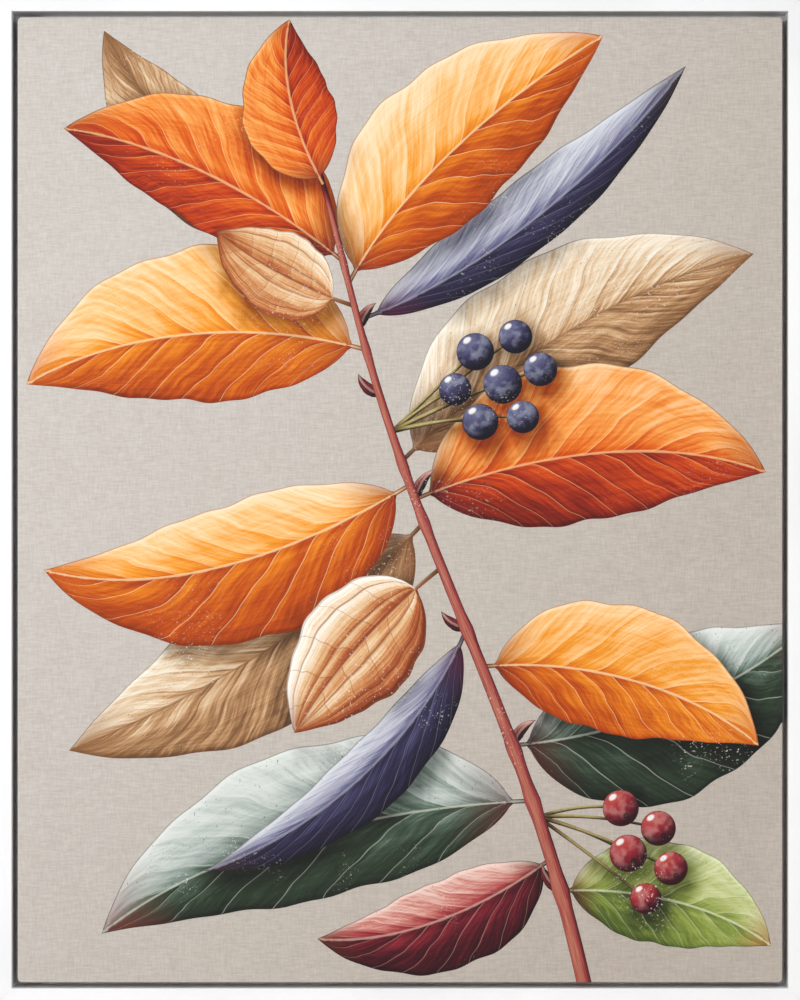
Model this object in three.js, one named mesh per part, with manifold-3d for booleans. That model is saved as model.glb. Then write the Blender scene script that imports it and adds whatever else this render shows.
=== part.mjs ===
// A canvas print stretched over pine bars and set in a white floater frame, hung by a sawtooth hanger.
// Millimetres. The front faces -Y, the wall is the plane y = 0, and the origin is the hanger's middle notch.
import * as THREE from 'three';
import { mergeVertices } from 'three/addons/utils/BufferGeometryUtils.js';
import Module from 'manifold-3d';

const wasm = await Module();
wasm.setup();

// Driving dimensions: the cloth, the floater frame, the stretcher bars, and how the whole is hung.
const canvasWidth = 610;
const canvasHeight = 770;
const clothThick = 0.6;
const cornerRadius = 3; // of the cloth, seen from the front
const edgeRadius = 2.4; // where the cloth turns from its face to its sides
const foldWidth = 35; // cloth turned over the backs of the bars

const floatGap = 4.2; // the shadow gap between cloth and frame
const faceWidth = 9.8; // the frame's front face
const frameDepth = 40;
const recess = 4; // the cloth's face lies this far behind the frame's
const ledgeWidth = 22;
const ledgeThick = 8;
const arris = 1.2; // the eased edges of the frame's face

const barWidth = 40;
const beadWidth = 5; // the raised edge that alone carries the cloth
const beadStep = 2;
const beadEase = 1.4;
const slopeDrop = 6; // how far a bar's face falls away towards its inner edge

const hangDrop = 24; // from the frame's top edge down to the hanger's notch
const hanger = { length: 60, height: 11, thick: 0.9, lift: 1.7, tab: 11, ramp: 3 };
const teeth = { deep: 2.4, pitch: 4, notches: 9 };
const bumper = { thick: 2.9, radius: 5, fromEdge: 12, fromCorner: 28 };

// The fixings, and where they go.
const staple = { crown: 10.4, wire: 0.7, breadth: 1.1, leg: 8 };
const screw = { headRadius: 3.6, headHeight: 2.1, shankRadius: 1.75, length: 20, tip: 4 };
const nail = { headRadius: 2.2, headHeight: 0.7, shankRadius: 0.7, length: 7, tip: 1.5 };
const cornerNail = { arm: 5.2, thick: 0.6, length: 6.5 };
const stapleInset = 40; // from the frame's outer edge to the row of staples
const stapleEnds = 78; // from the frame's corner to the first staple
const screwInset = 24;
const screwReach = 0.58; // of half the side
const hangerNailReach = 24; // from the hanger's middle to each nail
const cornerNailInset = 16;
const barStapleInset = 26; // from a bar's outer edges to the staple across its mitre

const fit = 0.1; // between pieces that are nailed, screwed or glued together
const clothFit = 0.2; // between the cloth and what it is stretched over or held by
const spare = 1; // how far a cutting tool runs past the faces that it cuts
const arcSteps = 4;
const roundSides = 12;

// Worked out from them. Depth is counted forwards from the frame's back face.
const frameWidth = canvasWidth + 2 * (floatGap + faceWidth);
const frameHeight = canvasHeight + 2 * (floatGap + faceWidth);
const standOff = bumper.thick + fit;
const clothBack = ledgeThick + clothFit;
const clothFront = frameDepth - recess;
const clothToBar = clothThick + clothFit;
const barBack = clothBack + clothToBar;
const barFront = clothFront - clothToBar;
const barDepth = barFront - barBack;
const barInset = faceWidth + floatGap + clothToBar; // from the frame's outer edge to the bar's
const hangerInset = hangDrop + teeth.deep - hanger.height / 2; // to the middle of the hanger's strip
const quarterTurn = Math.PI / 2;

// The four sides, clockwise from the top as seen from the front. span is half the frame's length along the side, and
// reach is half its size across it.
const sides = ['top', 'right', 'bottom', 'left'].map((name, i) => ({
  name,
  turn: i * quarterTurn,
  span: (i % 2 ? frameHeight : frameWidth) / 2,
  reach: (i % 2 ? frameWidth : frameHeight) / 2,
  staples: i % 2 ? 8 : 6,
}));
const [topSide, , bottomSide] = sides;

const paint = new THREE.MeshStandardMaterial({ color: 0xf6f5f2, roughness: 0.42 });
const pine = new THREE.MeshStandardMaterial({ color: 0xd9bd90, roughness: 0.75 });
const cloth = new THREE.MeshStandardMaterial({ color: 0xcbc2b8, roughness: 0.85 });
const zinc = new THREE.MeshStandardMaterial({ color: 0xb9bcc0, roughness: 0.35, metalness: 1 });
const wire = new THREE.MeshStandardMaterial({ color: 0xc4c4c2, roughness: 0.4, metalness: 1 });
const rubber = new THREE.MeshStandardMaterial({ color: 0x2c2c2e, roughness: 0.8 });

const picture = new THREE.Group(); // its own origin is the middle of the frame's back face
picture.position.set(0, -standOff, hangDrop - frameHeight / 2);

// Joining and cutting.

function solid(geometry, matrix = new THREE.Matrix4()) {
  const bare = geometry.clone().applyMatrix4(matrix);
  bare.deleteAttribute('normal');
  bare.deleteAttribute('uv');
  const merged = mergeVertices(bare);
  const vertProperties = new Float32Array(merged.attributes.position.array);
  const triVerts = new Uint32Array(merged.index.array);
  return new wasm.Manifold(new wasm.Mesh({ numProp: 3, vertProperties, triVerts }));
}

function geometryOf(body) {
  const { vertProperties, triVerts } = body.getMesh();
  const geometry = new THREE.BufferGeometry();
  geometry.setAttribute('position', new THREE.BufferAttribute(vertProperties, 3));
  geometry.setIndex(new THREE.BufferAttribute(triVerts, 1));
  geometry.computeVertexNormals();
  return geometry;
}

function cut(body, tools) {
  return tools.reduce((rest, tool) => rest.subtract(tool), body);
}

function points(list) {
  return list.map(([x, y]) => new THREE.Vector2(x, y));
}

function extruded(outline, depth) {
  return new THREE.ExtrudeGeometry(new THREE.Shape(points(outline)), { depth, bevelEnabled: false });
}

// Places on a side. Each side is worked out as the top one is, with x along it, y to the back and z outwards: along
// is counted from its middle, inset from the frame's outer edge, and depth forwards from the frame's back face.

function onSide(side, along, inset, depth) {
  return new THREE.Matrix4().makeTranslation(along, -depth, side.reach - inset);
}

// A corner's mitre, at the side's clockwise end (1) or its other end (-1), with x turned to run across the mitre.
function onMitre(side, end, inset, depth) {
  const turn = new THREE.Matrix4().makeRotationY((end * quarterTurn) / 2);
  return onSide(side, end * (side.span - inset), inset, depth).multiply(turn);
}

function turned(side, place) {
  return new THREE.Matrix4().makeRotationY(side.turn).multiply(place);
}

function addPiece(name, geometry, material, side = topSide, place = new THREE.Matrix4()) {
  const piece = new THREE.Mesh(geometry, material);
  piece.name = name;
  piece.applyMatrix4(turned(side, place));
  picture.add(piece);
}

// The fixings, each driven along -Y, which is towards the front, and seated at y = 0.

function stapleGeometry(grow = 0) {
  const half = staple.crown / 2 + grow;
  const inner = staple.crown / 2 - staple.wire - grow;
  const top = staple.wire + grow;
  const tip = -staple.leg - grow;
  const depth = staple.breadth + 2 * grow;
  const outline = [
    [-half, top],
    [-half, tip],
    [-inner, tip],
    [-inner, -grow],
    [inner, -grow],
    [inner, tip],
    [half, tip],
    [half, top],
  ];
  return extruded(outline, depth).translate(0, 0, -depth / 2);
}

function screwGeometry() {
  const { headRadius, headHeight, shankRadius, length, tip } = screw;
  const profile = [
    [0, -length],
    [shankRadius, tip - length],
    [shankRadius, 0],
    [headRadius, 0],
    [headRadius, headHeight * 0.45],
    [headRadius * 0.8, headHeight * 0.85],
    [headRadius * 0.45, headHeight],
    [0, headHeight],
  ];
  return new THREE.LatheGeometry(points(profile), roundSides);
}

function nailGeometry() {
  const { headRadius, headHeight, shankRadius, length, tip } = nail;
  const profile = [
    [0, -length],
    [shankRadius, tip - length],
    [shankRadius, 0],
    [headRadius, 0],
    [headRadius * 0.85, headHeight],
    [0, headHeight],
  ];
  return new THREE.LatheGeometry(points(profile), roundSides);
}

// A V of sheet steel, its point on the mitre and an arm in each rail.
function cornerNailGeometry(grow = 0) {
  const half = cornerNail.thick / 2 + grow;
  const arm = cornerNail.arm + grow;
  const outline = [
    [-arm, arm + half],
    [-arm, arm - half],
    [0, -half],
    [arm, arm - half],
    [arm, arm + half],
    [0, half],
  ];
  return extruded(outline, cornerNail.length + 2 * grow)
    .rotateX(quarterTurn)
    .translate(0, grow, 0);
}

function boreGeometry(radius, from, to) {
  return new THREE.CylinderGeometry(radius, radius, to - from, roundSides).translate(0, -(from + to) / 2, 0);
}

// Where the fixings go on each side, and what makes room for them.

function staplePlaces(side) {
  const first = stapleEnds - side.span;
  const step = (-2 * first) / (side.staples - 1);
  return Array.from({ length: side.staples }, (_, i) => onSide(side, first + i * step, stapleInset, clothBack - fit));
}

function screwPlaces(side) {
  return [-1, 1].map((end) => onSide(side, end * screwReach * side.span, screwInset, -fit));
}

function hangerNailPlaces(depth) {
  return [-1, 1].map((end) => onSide(topSide, end * hangerNailReach, hangerInset, depth));
}

function cornerNailPlace(side, end) {
  return onMitre(side, end, cornerNailInset, fit);
}

function barStaplePlace(side, end) {
  return onMitre(side, end, barInset + barStapleInset, barBack + staple.wire + fit);
}

function room(geometry, places) {
  return places.map((place) => solid(geometry, place));
}

// A rail or bar with both its ends cut to 45 degrees. The outline is drawn with x inwards from the outer edge and y
// forwards from the back face.
function mitred(outline, span, reach, back) {
  const geometry = extruded(outline, 2).translate(0, 0, -1);
  const point = geometry.attributes.position;
  const setBack = fit / Math.SQRT2;
  for (let i = 0; i < point.count; i++) {
    const inwards = point.getX(i);
    const end = -point.getZ(i);
    point.setXYZ(i, end * (span - inwards - setBack), -back - point.getY(i), reach - inwards);
  }
  return geometry;
}

function addRail(side) {
  const whole = mitred(
    [
      [0, 0],
      [faceWidth + ledgeWidth, 0],
      [faceWidth + ledgeWidth, ledgeThick],
      [faceWidth, ledgeThick],
      [faceWidth, frameDepth - arris],
      [faceWidth - arris, frameDepth],
      [arris, frameDepth],
      [0, frameDepth - arris],
    ],
    side.span,
    side.reach,
    0,
  );
  const tools = [
    ...room(boreGeometry(screw.shankRadius + 2 * fit, -spare, ledgeThick + spare), screwPlaces(side)),
    ...room(cornerNailGeometry(fit), [cornerNailPlace(side, -1), cornerNailPlace(side, 1)]),
  ];
  if (side === topSide) {
    tools.push(...room(boreGeometry(nail.shankRadius + fit, -spare, nail.length), hangerNailPlaces(0)));
  }
  addPiece(`frame_rail_${side.name}`, geometryOf(cut(solid(whole), tools)), paint, side);
}

// Flat slabs in the picture's plane, with rounded corners, from one depth to another.

function roundedRect(width, height, radius) {
  const x = width / 2 - radius;
  const y = height / 2 - radius;
  const shape = new THREE.Shape();
  shape.moveTo(-x, -y - radius);
  shape.absarc(x, -y, radius, -quarterTurn, 0);
  shape.absarc(x, y, radius, 0, quarterTurn);
  shape.absarc(-x, y, radius, quarterTurn, 2 * quarterTurn);
  shape.absarc(-x, -y, radius, 2 * quarterTurn, 3 * quarterTurn);
  return shape;
}

function slab(width, height, radius, from, to) {
  const options = { depth: to - from, bevelEnabled: false, curveSegments: arcSteps };
  const geometry = new THREE.ExtrudeGeometry(roundedRect(width, height, radius), options);
  return solid(geometry.rotateX(quarterTurn).translate(0, -from, 0));
}

// The same with its front edges rounded. The back ones, which are rounded too, are cut off.
function softSlab(width, height, radius, from, to, edge) {
  const options = {
    depth: to - from,
    bevelSize: edge,
    bevelThickness: edge,
    bevelSegments: arcSteps,
    curveSegments: arcSteps,
  };
  const shape = roundedRect(width - 2 * edge, height - 2 * edge, radius - edge);
  const whole = new THREE.ExtrudeGeometry(shape, options).rotateX(quarterTurn).translate(0, edge - from, 0);
  const kept = new THREE.BoxGeometry(2 * width, to - from, 2 * height).translate(0, -(from + to) / 2, 0);
  return solid(whole).intersect(solid(kept));
}

function addBar(side) {
  const whole = mitred(
    [
      [0, 0],
      [barWidth, 0],
      [barWidth, barDepth - slopeDrop],
      [beadWidth + beadStep, barDepth - beadStep],
      [beadWidth, barDepth],
      [beadEase, barDepth],
      [0, barDepth - beadEase],
    ],
    side.span - barInset,
    side.reach - barInset,
    barBack,
  );
  const easedCorners = slab(
    2 * (side.span - barInset),
    2 * (side.reach - barInset),
    cornerRadius - clothToBar,
    barBack - spare,
    barFront + spare,
  );
  const tools = [
    ...room(stapleGeometry(fit), [...staplePlaces(side), barStaplePlace(side, -1), barStaplePlace(side, 1)]),
    ...room(boreGeometry(screw.shankRadius + fit, ledgeThick, screw.length + spare), screwPlaces(side)),
  ];
  addPiece(`stretcher_bar_${side.name}`, geometryOf(cut(solid(whole).intersect(easedCorners), tools)), pine, side);
}

// The cloth: its face, its four sides and the border turned over the backs of the bars.
function addCloth() {
  const outside = softSlab(canvasWidth, canvasHeight, cornerRadius, clothBack, clothFront, edgeRadius);
  const inside = softSlab(
    canvasWidth - 2 * clothThick,
    canvasHeight - 2 * clothThick,
    cornerRadius - clothThick,
    clothBack + clothThick,
    clothFront - clothThick,
    edgeRadius - clothThick,
  );
  const opening = slab(
    canvasWidth - 2 * foldWidth,
    canvasHeight - 2 * foldWidth,
    clothThick,
    clothBack - spare,
    clothBack + clothThick + spare,
  );
  const screwHole = boreGeometry(screw.shankRadius + 2 * fit, ledgeThick - spare, barBack + spare);
  const holes = sides.flatMap((side) => [
    ...room(stapleGeometry(fit), staplePlaces(side).map((place) => turned(side, place))),
    ...room(screwHole, screwPlaces(side).map((place) => turned(side, place))),
  ]);
  addPiece('canvas', geometryOf(cut(outside.subtract(inside), [opening, ...holes])), cloth);
}

// A strip whose middle is bent clear of the rail, with its lower edge cut into teeth.
function addHanger() {
  const { length, height, thick, lift, tab, ramp } = hanger;
  const half = length / 2;
  const back = [
    [-half, 0],
    [tab - half, 0],
    [tab + ramp - half, lift],
    [half - tab - ramp, lift],
    [half - tab, 0],
    [half, 0],
  ];
  const front = back.map(([x, y]) => [x, y + thick]).reverse();
  const strip = extruded([...back, ...front], height).translate(0, 0, -teeth.deep);
  const notchDepth = lift + thick + 2 * spare;
  const notches = Array.from({ length: teeth.notches }, (_, i) => {
    const x = (i - (teeth.notches - 1) / 2) * teeth.pitch;
    const notch = [
      [x - teeth.pitch / 2, -teeth.deep - spare],
      [x + teeth.pitch / 2, -teeth.deep - spare],
      [x + teeth.pitch / 2, -teeth.deep],
      [x, 0],
      [x - teeth.pitch / 2, -teeth.deep],
    ];
    return solid(extruded(notch, notchDepth).rotateX(quarterTurn).translate(0, notchDepth - spare, 0));
  });
  const hole = boreGeometry(nail.shankRadius + fit, -thick - spare, spare);
  const holes = [-1, 1].map((end) => {
    return solid(hole, new THREE.Matrix4().makeTranslation(end * hangerNailReach, 0, hangDrop - hangerInset));
  });
  const plate = geometryOf(cut(solid(strip), [...notches, ...holes]));
  addPiece('sawtooth_hanger', plate, zinc, topSide, onSide(topSide, 0, hangDrop, -fit));
  const [left, right] = hangerNailPlaces(-thick - 2 * fit);
  addPiece('hanger_nail_left', nailGeometry(), zinc, topSide, left);
  addPiece('hanger_nail_right', nailGeometry(), zinc, topSide, right);
}

// Soft bumpers on the backs of the top and bottom rails, which keep the frame off the wall.
function addBumpers() {
  const { thick, radius, fromEdge, fromCorner } = bumper;
  const profile = [
    [0, 0],
    [radius, 0],
    [radius, thick * 0.5],
    [radius * 0.88, thick * 0.85],
    [radius * 0.7, thick],
    [0, thick],
  ];
  const geometry = new THREE.LatheGeometry(points(profile), 2 * roundSides);
  for (const side of [topSide, bottomSide]) {
    const clockwiseEnd = side === topSide ? 'right' : 'left';
    const otherEnd = side === topSide ? 'left' : 'right';
    const along = side.span - fromCorner;
    addPiece(`bumper_${side.name}_${clockwiseEnd}`, geometry, rubber, side, onSide(side, along, fromEdge, -fit));
    addPiece(`bumper_${side.name}_${otherEnd}`, geometry, rubber, side, onSide(side, -along, fromEdge, -fit));
  }
}

sides.forEach((side, i) => {
  addRail(side);
  addPiece(`frame_corner_nail_${i + 1}`, cornerNailGeometry(), zinc, side, cornerNailPlace(side, 1));
  addBar(side);
  addPiece(`bar_corner_staple_${i + 1}`, stapleGeometry(), wire, side, barStaplePlace(side, 1));
  staplePlaces(side).forEach((place, n) => {
    addPiece(`canvas_staple_${side.name}_${n + 1}`, stapleGeometry(), wire, side, place);
  });
  screwPlaces(side).forEach((place, n) => {
    addPiece(`fixing_screw_${side.name}_${n + 1}`, screwGeometry(), zinc, side, place);
  });
});
addCloth();
addHanger();
addBumpers();

const group = new THREE.Group();
group.add(picture);

export default group;
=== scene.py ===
from math import cos, pi, radians, sin

import bmesh
import bpy
import numpy as np
from mathutils import Matrix, Vector, geometry


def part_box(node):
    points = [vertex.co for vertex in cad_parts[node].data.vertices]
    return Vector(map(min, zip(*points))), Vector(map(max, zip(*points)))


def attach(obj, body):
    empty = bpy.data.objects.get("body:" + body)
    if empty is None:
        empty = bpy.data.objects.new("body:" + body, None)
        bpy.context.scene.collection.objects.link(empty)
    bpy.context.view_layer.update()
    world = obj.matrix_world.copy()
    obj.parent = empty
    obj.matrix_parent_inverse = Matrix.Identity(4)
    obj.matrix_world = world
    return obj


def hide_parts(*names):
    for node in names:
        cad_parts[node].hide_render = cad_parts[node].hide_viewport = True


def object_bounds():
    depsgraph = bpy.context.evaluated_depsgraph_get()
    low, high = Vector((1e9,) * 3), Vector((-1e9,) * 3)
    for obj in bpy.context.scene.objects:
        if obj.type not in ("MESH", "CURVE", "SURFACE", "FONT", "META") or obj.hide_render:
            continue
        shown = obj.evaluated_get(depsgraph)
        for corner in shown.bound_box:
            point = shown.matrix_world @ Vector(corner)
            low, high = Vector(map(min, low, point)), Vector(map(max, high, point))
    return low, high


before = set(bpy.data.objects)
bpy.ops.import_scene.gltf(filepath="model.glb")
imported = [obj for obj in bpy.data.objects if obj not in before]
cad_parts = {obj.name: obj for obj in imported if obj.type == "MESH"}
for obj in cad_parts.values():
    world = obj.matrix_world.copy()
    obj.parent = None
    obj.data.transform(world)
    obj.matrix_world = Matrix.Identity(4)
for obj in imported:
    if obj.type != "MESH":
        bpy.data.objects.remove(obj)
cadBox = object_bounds()

# A canvas print in a white floater frame. Metres, the print faces -Y, the wall is y = 0 and +Z is up.
mm = 0.001
quarterTurn = pi / 2
clothLow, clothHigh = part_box("canvas")
railLow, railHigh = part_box("frame_rail_top")
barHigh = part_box("stretcher_bar_top")[1]
middle = Vector((0, 0, (clothLow.z + clothHigh.z) / 2))
clothHalf = Vector((clothHigh.x, clothHigh.z - middle.z))
frameHalf = Vector((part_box("frame_rail_right")[1].x, railHigh.z - middle.z))
barHalf = Vector((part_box("stretcher_bar_right")[1].x, barHigh.z - middle.z))
sideNames = ["top", "right", "bottom", "left"]  # clockwise from the front
rng = np.random.default_rng(12)


# Camera.

view = {
    "away": 3.2,       # m in front of the frame's face
    "height": 0.7964,  # m of the frame that the picture's width holds
    "lower": 0.00023,  # m below the frame's middle
    "sensor": 36,      # mm
}

lens = bpy.data.cameras.new("viewCamera")
lens.sensor_width = view["sensor"]
lens.lens = view["sensor"] * view["away"] / view["height"]
camera = bpy.data.objects.new("viewCamera", lens)
camera.location = (0, railLow.y - view["away"], middle.z - view["lower"])
camera.rotation_euler = (quarterTurn, 0, 0)
bpy.context.collection.objects.link(camera)
bpy.context.scene.camera = camera
bpy.context.scene.view_settings.view_transform = "Standard"
print("camera placed")


# Node helpers.

def colour(text):
    # a hex colour as linear light
    parts = [int(text[i:i + 2], 16) / 255 for i in (0, 2, 4)]
    return tuple(c / 12.92 if c <= 0.04045 else ((c + 0.055) / 1.055) ** 2.4 for c in parts) + (1.0,)


def plug(tree, socket, value):
    # value is another node's output, a number, a vector or a hex colour
    if isinstance(value, bpy.types.NodeSocket):
        tree.links.new(value, socket)
    else:
        socket.default_value = colour(value) if isinstance(value, str) else value


def put(tree, kind, inputs=None, **settings):
    made = tree.nodes.new("ShaderNode" + kind)
    for name, value in settings.items():
        setattr(made, name, value)
    for name, value in (inputs or {}).items():
        plug(tree, made.inputs[name], value)
    return made


def calc(tree, operation, *values, clamp=False):
    return put(tree, "Math", dict(enumerate(values)), operation=operation, use_clamp=clamp).outputs[0]


def total(tree, *values):
    whole = values[0]
    for value in values[1:]:
        whole = calc(tree, "ADD", whole, value)
    return whole


def times(tree, *values):
    whole = values[0]
    for value in values[1:]:
        whole = calc(tree, "MULTIPLY", whole, value)
    return whole


def less(tree, value, taken, clamp=False):
    return calc(tree, "SUBTRACT", value, taken, clamp=clamp)


def fromOne(tree, value, clamp=False):
    return less(tree, 1.0, value, clamp)


def centred(tree, share):
    return less(tree, share, 0.5)


def nearerEnd(tree, share):
    return calc(tree, "MINIMUM", share, fromOne(tree, share))


def around(tree, level, value, spread):
    return total(tree, times(tree, value, spread), level)


def soft(tree, value, low, high):
    inputs = {"Value": value, "From Min": low, "From Max": high}
    return put(tree, "MapRange", inputs, interpolation_type="SMOOTHSTEP").outputs["Result"]


def noise(tree, vector, scale, detail=2.0, roughness=0.5):
    inputs = {"Vector": vector, "Scale": scale, "Detail": detail, "Roughness": roughness}
    return put(tree, "TexNoise", inputs).outputs["Fac"]


def blend(tree, factor, first, second, how="MIX"):
    made = put(tree, "Mix", data_type="RGBA", blend_type=how)
    for place, value in ((0, factor), (6, first), (7, second)):
        plug(tree, made.inputs[place], value)
    return made.outputs[2]


def ramp(tree, factor, tones):
    made = put(tree, "ValToRGB", {"Fac": factor})
    elements = made.color_ramp.elements
    texts = tones.split()
    while len(elements) < len(texts):
        elements.new(0.5)
    for i, text in enumerate(texts):
        elements[i].position = i / (len(texts) - 1)
        elements[i].color = colour(text)
    return made.outputs["Color"]


def surfacePoint(tree):
    return put(tree, "TexCoord").outputs["Object"]


def mapped(tree, vector, scale, turn=(0, 0, 0)):
    return put(tree, "Mapping", {"Vector": vector, "Rotation": turn, "Scale": scale}).outputs[0]


def parted(tree, vector):
    return put(tree, "SeparateXYZ", {0: vector}).outputs


def joined(tree, first, second, third):
    return put(tree, "CombineXYZ", {0: first, 1: second, 2: third}).outputs[0]


def attribute(tree, name):
    return put(tree, "Attribute", attribute_name=name).outputs


def startGroup(name, inputs, outputs):
    group = bpy.data.node_groups.new(name, "ShaderNodeTree")
    for names, side in ((inputs, "INPUT"), (outputs, "OUTPUT")):
        for socket in names:
            group.interface.new_socket(name=socket, in_out=side, socket_type="NodeSocketFloat")
    return group, group.nodes.new("NodeGroupInput").outputs, group.nodes.new("NodeGroupOutput").inputs


def useGroup(tree, group, **inputs):
    made = tree.nodes.new("ShaderNodeGroup")
    made.node_tree = group
    for name, value in inputs.items():
        plug(tree, made.inputs[name], value)
    return made.outputs


def startMaterial(name, constants):
    made = bpy.data.materials.new(name)
    made.use_nodes = True
    shader = made.node_tree.nodes["Principled BSDF"]
    for socket, value in constants.items():
        shader.inputs[socket].default_value = value
    return made, made.node_tree, shader


def dress(tree, shader, tint, roughness, height, relief):
    plug(tree, shader.inputs["Base Color"], tint)
    plug(tree, shader.inputs["Roughness"], roughness)
    bump = put(tree, "Bump", {"Height": height, "Distance": relief})
    tree.links.new(bump.outputs["Normal"], shader.inputs["Normal"])


# Threads over and under each other, and streaks where single threads are thicker or darker.

threading = {"wobble": 90.0, "weft": (110, 300, 900), "warp": (1000, 300, 130), "warpShare": 0.8}


def makeWeaveGroup():
    tree, given, made = startGroup("plainWeave", ["Pitch"], ["Height", "Streaks"])
    place = surfacePoint(tree)
    wobble = noise(tree, place, threading["wobble"])
    turns = calc(tree, "DIVIDE", pi, given["Pitch"])
    x, y, z = parted(tree, place)
    sideways = calc(tree, "SINE", calc(tree, "ADD", times(tree, x, turns), wobble))
    upright = calc(tree, "SINE", calc(tree, "ADD", times(tree, z, turns), wobble))
    depthwise = calc(tree, "SINE", times(tree, y, turns))
    onFace = times(tree, sideways, upright)
    onSides = times(tree, depthwise, total(tree, sideways, upright))
    plug(tree, made["Height"], total(tree, onFace, onSides))
    weft = noise(tree, mapped(tree, place, threading["weft"]), 1.0, 3.0, 0.6)
    warp = noise(tree, mapped(tree, place, threading["warp"]), 1.0, 3.0, 0.6)
    both = total(tree, weft, times(tree, warp, threading["warpShare"]))
    plug(tree, made["Streaks"], less(tree, both, 0.9))
    return tree


weave = makeWeaveGroup()
print("weave built")


# The white paint of the frame, brushed on and lightly rubbed down.

paint = {
    "colour": "f6f6f7", "shade": "f0f0f1", "broad": 9.0, "peel": 700.0, "strokes": (60, 900, 60),
    "roughness": 0.36, "spread": 0.10, "relief": 0.00004,
}


def makePaint():
    material, tree, shader = startMaterial("satinPaint", {"Specular IOR Level": 0.5})
    place = surfacePoint(tree)
    broad = noise(tree, place, paint["broad"], 3.0)
    peel = noise(tree, place, paint["peel"])
    strokes = noise(tree, mapped(tree, place, paint["strokes"]), 1.0)
    tint = blend(tree, soft(tree, broad, 0.35, 0.7), paint["colour"], paint["shade"])
    gloss = around(tree, paint["roughness"] - paint["spread"], total(tree, broad, peel), paint["spread"])
    dress(tree, shader, tint, gloss, total(tree, peel, strokes), paint["relief"])
    return material


# Pine of the stretcher bars: rings cut along the grain, with a fine fibre.

pine = {
    "early": "e3c799", "late": "c39b62", "fibre": "b18a56", "rings": 95.0, "waver": 0.05,
    "grain": (0.12, 1, 1), "fibres": (25, 900, 900), "roughness": 0.72, "relief": 0.00012,
}


def makePine(name, turn):
    # turn brings the grain onto X
    material, tree, shader = startMaterial(name, {"Specular IOR Level": 0.3})
    turnedPlace = mapped(tree, surfacePoint(tree), (1, 1, 1), (0, turn, 0))
    grain = mapped(tree, turnedPlace, pine["grain"])
    waver = noise(tree, grain, 6.0)
    _, y, z = parted(tree, grain)
    across = total(tree, y, z, times(tree, waver, pine["waver"]))
    ring = calc(tree, "FRACT", times(tree, across, pine["rings"]))
    late = times(tree, soft(tree, ring, 0.35, 0.92), soft(tree, ring, 1.0, 0.94))
    fibre = noise(tree, mapped(tree, turnedPlace, pine["fibres"]), 1.0, 3.0, 0.7)
    wood = blend(tree, times(tree, late, 0.75), pine["early"], pine["late"])
    wood = blend(tree, times(tree, soft(tree, fibre, 0.52, 0.75), 0.5), wood, pine["fibre"])
    gloss = around(tree, pine["roughness"] - 0.08, fibre, 0.15)
    dress(tree, shader, wood, gloss, total(tree, fibre, late), pine["relief"])
    return material


# Metals and rubber of the fixings.

metals = {
    "zincPlate": {"dark": "a4a8ab", "light": "c6c9cb", "roughness": 0.30},
    "stapleWire": {"dark": "9a9894", "light": "cfcdc8", "roughness": 0.36},
}
metalWear = {"clouds": 260.0, "rubbing": (2500, 400, 400), "relief": 0.00001}
rubberLook = {"clean": "252527", "dusty": "47474a", "dust": 900.0, "roughness": 0.55, "relief": 0.00006}


def makeMetal(name):
    look = metals[name]
    material, tree, shader = startMaterial(name, {"Metallic": 1.0})
    place = surfacePoint(tree)
    cloudy = noise(tree, place, metalWear["clouds"], 3.0)
    rubbed = noise(tree, mapped(tree, place, metalWear["rubbing"]), 1.0)
    tint = blend(tree, soft(tree, cloudy, 0.35, 0.65), look["dark"], look["light"])
    gloss = around(tree, look["roughness"] - 0.1, rubbed, 0.2)
    dress(tree, shader, tint, gloss, rubbed, metalWear["relief"])
    return material


def makeRubber():
    material, tree, shader = startMaterial("softRubber", {"Specular IOR Level": 0.35})
    dust = noise(tree, surfacePoint(tree), rubberLook["dust"], 4.0, 0.7)
    tint = blend(tree, soft(tree, dust, 0.5, 0.8), rubberLook["clean"], rubberLook["dusty"])
    dress(tree, shader, tint, around(tree, rubberLook["roughness"], dust, 0.3), dust, rubberLook["relief"])
    return material


# The unprinted side of the canvas.

rawLook = {"dark": "d6ccba", "light": "eee7da", "pitch": 0.8 * mm, "roughness": 0.86, "relief": 0.00012}


def makeRawCloth():
    material, tree, shader = startMaterial("rawCloth", {"Specular IOR Level": 0.2, "Sheen Weight": 0.15})
    threads = useGroup(tree, weave, Pitch=rawLook["pitch"])
    slub = blend(tree, soft(tree, threads["Streaks"], -0.45, 0.35), rawLook["dark"], rawLook["light"])
    gloss = around(tree, rawLook["roughness"], threads["Height"], 0.04)
    dress(tree, shader, slub, gloss, threads["Height"], rawLook["relief"])
    return material


# Looks of the print. Every list of tones runs from the darkest to the lightest that is printed.

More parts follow.
